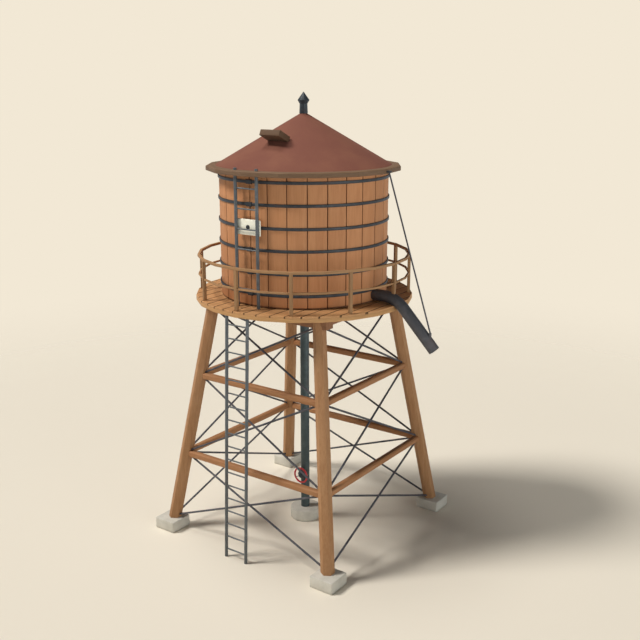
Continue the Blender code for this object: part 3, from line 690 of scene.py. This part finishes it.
HOOP_HEIGHT = 0.07
HOOP_THICKNESS = 0.028
HOOP_EASE = 0.010
LUG = (0.15, 0.045, 0.095)
LUG_SETBACK = 0.006
LUG_EASE = 0.006
# The bolt's radius, how far it stands out of the lug, and its flats
LUG_BOLT = (0.016, 0.012, 6)

hoop_iron = iron("hoop iron", "#333537", "#404244")
centres = [sum(corner.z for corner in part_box(f"hoop_{number}")) / 2 for number in range(1, 7)]
lower, upper = centres[0] - HOOP_HEIGHT / 2, centres[0] + HOOP_HEIGHT / 2
outer = TANK_RADIUS + HOOP_THICKNESS
band = turned("hoop_band_1", ((outer, lower), (outer, upper), (TANK_RADIUS, upper),
                              (TANK_RADIUS, lower)), STAVE_FLATS * STAVES)
eased(band, HOOP_EASE, segments=3, angle=40.0)
fitted(band, hoop_iron, "hoop_1")
wide, deep, tall = LUG
bolt_radius, bolt_length, bolt_sides = LUG_BOLT
back = -(TANK_RADIUS + LUG_SETBACK)
lug = [block("lug", (-wide / 2, back - deep, centres[0] - tall / 2),
             (wide / 2, back, centres[0] + tall / 2))]
for side in (-1, 1):
    lug.append(post("bolt", (side * wide / 2, back - deep / 2, centres[0]),
                    (side * (wide / 2 + bolt_length), back - deep / 2, centres[0]),
                    bolt_radius, bolt_sides))
lug = eased(joined("hoop_lug_1", lug), LUG_EASE)
fitted(lug, hoop_iron, "hoop_1")
for number, centre in enumerate(centres[1:], start=2):
    up = Matrix.Translation((0, 0, centre - centres[0]))
    fitted(copied(band, f"hoop_band_{number}", up), hoop_iron, f"hoop_{number}")
    fitted(copied(lug, f"hoop_lug_{number}", up), hoop_iron, f"hoop_{number}")


# Eave ring: sixteen straight lengths on the staves' top that carry the roof, brown paint
# on softwood. The upper ladder's rails pass through it, and an iron bracket on its outer
# face holds the spout's stay.

EAVE_INNER = 1.90
# How far the bevels cut in, and how high they are
EAVE_TOP_BEVEL = (0.025, 0.018)
EAVE_LOWER_BEVEL = (0.015, 0.012)
EAVE_SIDES = 16
EAVE_EASE = 0.004
BRACKET = (0.11, 0.07, 0.04)
BRACKET_EASE = 0.006
# The stay's upper end: its distance from the axis and its height
STAY_HEAD = (2.352, 9.02)

low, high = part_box("eave_ring")
outer = high.y
eave = turned("eave_moulding", (
    (outer - EAVE_LOWER_BEVEL[0], low.z), (outer, low.z + EAVE_LOWER_BEVEL[1]),
    (outer, high.z - EAVE_TOP_BEVEL[1]), (outer - EAVE_TOP_BEVEL[0], high.z),
    (EAVE_INNER, high.z), (EAVE_INNER, low.z)), EAVE_SIDES)
eave_wood = wood("eave wood", "#6E543D", "#7F634A", round_place, bleach="#8B7258")
fitted(eased(eave, EAVE_EASE, angle=20.0), eave_wood, "eave_ring")
start = outer - EAVE_LOWER_BEVEL[0]
long, wide, tall = BRACKET
bracket = block("stay_bracket", (start, -wide / 2, STAY_HEAD[1]),
                (start + long, wide / 2, STAY_HEAD[1] + tall))
fitted(eased(bracket, BRACKET_EASE), hoop_iron, "eave_ring")


# Roof: a plain cone of boards under dull red-brown felt. It rests on the eave ring, and is
# cut off flat at the crown for the finial.

# The height of the full cone's point, and its rise per metre
ROOF_APEX = 10.306
ROOF_SLOPE = 0.5815
ROOF_THICKNESS = 0.035
ROOF_SIDES = 112
CROWN_RADIUS = 0.085
CROWN_BORE = 0.047

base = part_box("roof")[0].z
rise = ROOF_THICKNESS * math.sqrt(1 + ROOF_SLOPE ** 2)
roof = turned("roof_cone", (
    (CROWN_BORE, ROOF_APEX - ROOF_SLOPE * CROWN_RADIUS),
    (CROWN_RADIUS, ROOF_APEX - ROOF_SLOPE * CROWN_RADIUS),
    ((ROOF_APEX - base) / ROOF_SLOPE, base), ((ROOF_APEX - rise - base) / ROOF_SLOPE, base),
    (CROWN_BORE, ROOF_APEX - ROOF_SLOPE * CROWN_BORE - rise)), ROOF_SIDES)
smoothed(roof, angle=20.0)
finish, tree, shader = new_finish("roofing felt", roughness=0.85, specular=0.25)
place = add(tree, "TexCoord").outputs["Object"]
faded = use(tree, weather, {"Place": place, "Scale": 1.1, "From": 0.35, "To": 0.75})
felt = mixed(tree, faded.outputs["Mask"], "#7A4B3D", "#835442")
grit = add(tree, "TexNoise", {"Vector": place, "Scale": 160.0, "Detail": 3.0})
speck = add(tree, "MapRange", {"Value": grit.outputs["Fac"], "From Min": 0.3, "From Max": 0.7,
                               "To Min": 0.93, "To Max": 1.05})
tree.links.new(shaded(tree, felt, speck.outputs["Result"]), shader.inputs["Base Color"])
bumped(tree, shader, grit.outputs["Fac"], strength=0.3, distance=0.002)
fitted(roof, finish, "roof")


# Finial: a cast iron spear with eight flats, painted slate. It stands on the roof's flat
# crown and covers the hole in it.

FINIAL_EASE = 0.003

finial = dressed("finial_casting", "finial", FINIAL_EASE)
fitted(finial, iron("finial iron", "#30373C", "#383F44"), "finial")


# Roof hatch: a thick lid that stands up from the roof on the ladder's side, in dark
# brown-painted wood.

HATCH_EASE = 0.010

hatch_wood = wood("hatch wood", "#59412D", "#694E37", "X", bleach="#83694A")
fitted(dressed("hatch_lid", "roof_hatch", HATCH_EASE), hatch_wood, "roof_hatch")


# Gauge board: a cream-painted board hung on the hoop behind the upper ladder, with a
# bevelled edge and a round iron boss at its middle.

PLATE_EASE = 0.004
BOSS_RADIUS = 0.053
BOSS_SEGMENTS = 32

finish, tree, shader = new_finish("cream paint", roughness=0.45)
place = add(tree, "TexCoord").outputs["Object"]
dirt = use(tree, weather, {"Place": place, "Scale": 5.0, "From": 0.45, "To": 0.85})
tree.links.new(mixed(tree, dirt.outputs["Mask"], "#FFFBE6", "#FBEEC8"), shader.inputs["Base Color"])
brushed = add(tree, "TexNoise", {"Vector": place, "Scale": 70.0, "Detail": 3.0})
bumped(tree, shader, brushed.outputs["Fac"], strength=0.1, distance=0.002)
fitted(dressed("gauge_plate", "gauge_board", PLATE_EASE), finish, "gauge_board")

low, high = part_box("gauge_knob")
bpy.ops.object.select_all(action="DESELECT")
bpy.ops.mesh.primitive_uv_sphere_add(
    segments=BOSS_SEGMENTS, ring_count=BOSS_SEGMENTS // 2, radius=BOSS_RADIUS,
    location=(0.0, high.y, (low.z + high.z) / 2), rotation=(math.pi / 2, 0, 0),
    scale=(1.0, 1.0, (high.y - low.y) / BOSS_RADIUS))
boss = placed("gauge_boss")
trimmed(boss, (0, high.y, 0), (0, 1, 0))
fitted(smoothed(boss), hoop_iron, "gauge_knob")


# Ladders: two round steel rails and round rungs, painted grey. The upper one stands on
# the deck and passes through the eave; the lower one leans from the ground to the deck.

RAIL_SPACING = 0.60
RAIL_RADIUS = 0.038
RAIL_SIDES = 16
RAIL_END_EASE = 0.008
RUNG_RADIUS = 0.018
RUNG_SIDES = 12
# Each ladder's distance in front of the axis at its foot and head, and its rungs: the
# lowest one's height, the spacing and the number
LADDERS = {"upper_ladder": ((-2.130, -2.130), (6.46, 0.45, 6)),
           "lower_ladder": ((-2.775, -2.525), (0.214, 0.3225, 18))}

ladder_steel = iron("ladder steel", "#5B6062", "#6C7072", rust_share=0.25)
for node, ((foot_y, head_y), (first, spacing, count)) in LADDERS.items():
    low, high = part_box(node)
    half = RAIL_SPACING / 2
    foot, head = Vector((-half, foot_y, low.z)), Vector((-half, head_y, high.z))
    lean = (head_y - foot_y) / (high.z - low.z)
    spare = (head - foot).normalized() * RAIL_RADIUS
    rail = post("rail", foot - spare, head + spare, RAIL_RADIUS, RAIL_SIDES)
    trimmed(rail, foot, (0, 0, -1))
    trimmed(rail, head, (0, 0, 1))
    eased(rail, RAIL_END_EASE, smooth=40.0)
    y = foot_y + lean * (first - low.z)
    rung = smoothed(post("rung", (-half, y, first), (half, y, first), RUNG_RADIUS, RUNG_SIDES))
    parts = [rail, copied(rail, "rail", Matrix.Translation((RAIL_SPACING, 0, 0))), rung]
    for number in range(1, count):
        rise = spacing * number
        parts.append(copied(rung, "rung", Matrix.Translation((0, lean * rise, rise))))
    fitted(joined(node + "_steel", parts), ladder_steel, node)


# Spout: a plain iron pipe from the tank's foot, bent down over the deck's edge and open
# at its mouth, held by a thin iron stay from an eye on its back to the eave.

SPOUT_RADIUS = 0.133
SPOUT_SIDES = 32
SPOUT_WALL = 0.014
# The middles of its two ends: distance from the axis and height
SPOUT_START = (1.93, 6.215)
SPOUT_END = (3.62, 5.127)
SPOUT_SLOPE = math.radians(46.5)
SPOUT_BEND = 0.75
SPOUT_BEND_STEPS = 14
SPOUT_EASE = 0.004
STAY_FOOT = (3.50, 5.52)
STAY_RADIUS = 0.018
STAY_SIDES = 12
EYE_RADIUS = 0.032
EYE_SIDES = 16
EYE_DEPTH = 0.16
EYE_EASE = 0.006

down = Vector((math.cos(SPOUT_SLOPE), 0.0, -math.sin(SPOUT_SLOPE)))
start = Vector((SPOUT_START[0], 0.0, SPOUT_START[1]))
end = Vector((SPOUT_END[0], 0.0, SPOUT_END[1]))
straight = (start.z - end.z) / math.sin(SPOUT_SLOPE)
elbow = end - down * straight
reach = SPOUT_BEND * math.tan(SPOUT_SLOPE / 2)
bpy.ops.object.select_all(action="DESELECT")
bpy.ops.mesh.primitive_circle_add(vertices=SPOUT_SIDES, radius=SPOUT_RADIUS, location=start,
                                  rotation=(0, math.pi / 2, 0))
spout = placed("spout_pipe")
bpy.ops.object.mode_set(mode="EDIT")
bpy.ops.mesh.select_all(action="SELECT")
bpy.ops.mesh.extrude_region_move(TRANSFORM_OT_translate={"value": (elbow.x - reach - start.x, 0, 0)})
bpy.ops.mesh.spin(steps=SPOUT_BEND_STEPS, angle=SPOUT_SLOPE, axis=(0, -1, 0),
                  center=(elbow.x - reach, 0, start.z - SPOUT_BEND))
bpy.ops.mesh.extrude_region_move(TRANSFORM_OT_translate={"value": down * (straight - reach)})
bpy.ops.mesh.select_all(action="SELECT")
bpy.ops.mesh.remove_doubles(threshold=MERGE_DISTANCE)
bpy.ops.mesh.normals_make_consistent(inside=False)
bpy.ops.object.mode_set(mode="OBJECT")
applied(spout, "SOLIDIFY", thickness=SPOUT_WALL, offset=-1.0)
eased(spout, SPOUT_EASE, angle=50.0)
spout_iron = iron("spout iron", "#505053", "#5D5C5F")
eye = post("eye", (STAY_FOOT[0], 0, STAY_FOOT[1] - EYE_DEPTH), (STAY_FOOT[0], 0, STAY_FOOT[1]),
           EYE_RADIUS, EYE_SIDES)
eased(eye, EYE_EASE)
fitted(joined("spout_pipe", [spout, eye]), spout_iron, "spout")
stay = post("stay_rod", (STAY_FOOT[0], 0, STAY_FOOT[1]), (STAY_HEAD[0], 0, STAY_HEAD[1]),
            STAY_RADIUS, STAY_SIDES)
fitted(smoothed(stay), rod_iron, "spout_stay")


# Riser: a straight iron pipe from the pier to the tank, painted slate, with the valve's
# eight-sided bonnet and the stem of the hand wheel on the front.

PIPE_RADIUS = 0.11
PIPE_SIDES = 32
PIPE_EASE = 0.006
VALVE_HEIGHT = 1.21
BONNET_RADIUS = 0.125
BONNET_SIDES = 8
BONNET_END = -0.155
BONNET_EASE = 0.008
STEM_RADIUS = 0.017
STEM_SIDES = 16
STEM_EASE = 0.003

low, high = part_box("riser_pipe")
pipe = post("pipe", (0, 0, low.z), (0, 0, high.z), PIPE_RADIUS, PIPE_SIDES)
eased(pipe, PIPE_EASE)
bonnet = post("bonnet", (0, 0, VALVE_HEIGHT), (0, BONNET_END, VALVE_HEIGHT), BONNET_RADIUS,
              BONNET_SIDES)
eased(bonnet, BONNET_EASE)
stem = post("stem", (0, 0, VALVE_HEIGHT), (0, low.y, VALVE_HEIGHT), STEM_RADIUS, STEM_SIDES)
eased(stem, STEM_EASE)
riser = joined("riser_and_valve", [pipe, bonnet, stem])
fitted(riser, iron("riser iron", "#435052", "#505E60"), "riser_pipe")


# Hand wheel: a round rim of red-painted iron on three dark iron spokes and a hub. It
# turns on the valve's stem.

WHEEL_Y = -0.190
WHEEL_RADIUS = 0.19
RIM_RADIUS = 0.022
RIM_SEGMENTS = (48, 12)
SPOKES = 3
SPOKE_RADIUS = 0.010
SPOKE_SIDES = 12
HUB_RADIUS = 0.042
HUB_SIDES = 24
HUB_DEPTH = 0.05
HUB_EASE = 0.006

finish, tree, shader = new_finish("red wheel paint", roughness=0.35)
place = add(tree, "TexCoord").outputs["Object"]
chipped = use(tree, weather, {"Place": place, "Scale": 30.0, "From": 0.6, "To": 0.75})
tree.links.new(mixed(tree, chipped.outputs["Mask"], "#C8323A", "#9C2A30"),
               shader.inputs["Base Color"])
bpy.ops.object.select_all(action="DESELECT")
bpy.ops.mesh.primitive_torus_add(major_radius=WHEEL_RADIUS, minor_radius=RIM_RADIUS,
                                 major_segments=RIM_SEGMENTS[0], minor_segments=RIM_SEGMENTS[1],
                                 location=(0, WHEEL_Y, VALVE_HEIGHT), rotation=(math.pi / 2, 0, 0))
fitted(smoothed(placed("wheel_rim"), angle=60.0), finish, "valve_wheel", body="wheel")

middle = Vector((0, WHEEL_Y, VALVE_HEIGHT))
hub = post("hub", middle + Vector((0, HUB_DEPTH / 2, 0)), middle - Vector((0, HUB_DEPTH / 2, 0)),
           HUB_RADIUS, HUB_SIDES)
spoke = smoothed(post("spoke", middle, middle + Vector((0, 0, WHEEL_RADIUS)), SPOKE_RADIUS,
                      SPOKE_SIDES))
parts = [eased(hub, HUB_EASE), spoke]
for number in range(1, SPOKES):
    turn = Matrix.Rotation(-2 * math.pi * number / SPOKES, 4, "Y")
    parts.append(copied(spoke, "spoke", Matrix.Translation(middle) @ turn @ Matrix.Translation(-middle)))
fitted(joined("wheel_spokes", parts), iron("wheel iron", "#3A3E44", "#484C52"), "valve_wheel",
       body="wheel")
